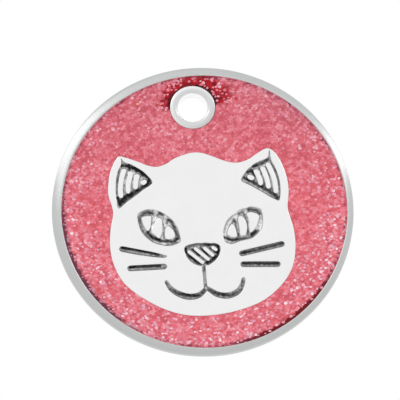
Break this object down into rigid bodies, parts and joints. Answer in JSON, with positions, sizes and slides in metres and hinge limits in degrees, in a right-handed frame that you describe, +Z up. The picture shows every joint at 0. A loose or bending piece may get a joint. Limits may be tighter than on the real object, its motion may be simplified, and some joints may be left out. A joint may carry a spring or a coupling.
{
  "type": "pet id tag",
  "caption": "Round metal pet id tag with a raised rim, a collared hang hole, and a struck cat's head with inked grooves in a field of pink glitter enamel.",
  "frame": {"origin": "centre of the hang hole, halfway through the tag's thickness", "axes": "+Z up, from the tag's centre towards the hang hole; -Y out of the decorated front; +X to the right as the front is looked at"},
  "size_m": [0.0254, 0.0014, 0.0254],
  "materials": {
    "metal": "satin nickel plate with fine polishing marks",
    "glitter_enamel": "glossy pink resin enamel full of fine glitter",
    "ink": "black enamel ink, semi-gloss, thin and uneven"
  },
  "bodies": {
    "root": {"tag_body": "metal", "glitter_enamel": "glitter_enamel", "left_ear_ink": "ink", "right_ear_ink": "ink", "left_eye_ink": "ink", "right_eye_ink": "ink", "nose_ink": "ink", "mouth_ink": "ink", "upper_left_whisker_ink": "ink", "lower_left_whisker_ink": "ink", "upper_right_whisker_ink": "ink", "lower_right_whisker_ink": "ink"}
  },
  "joints": []
}
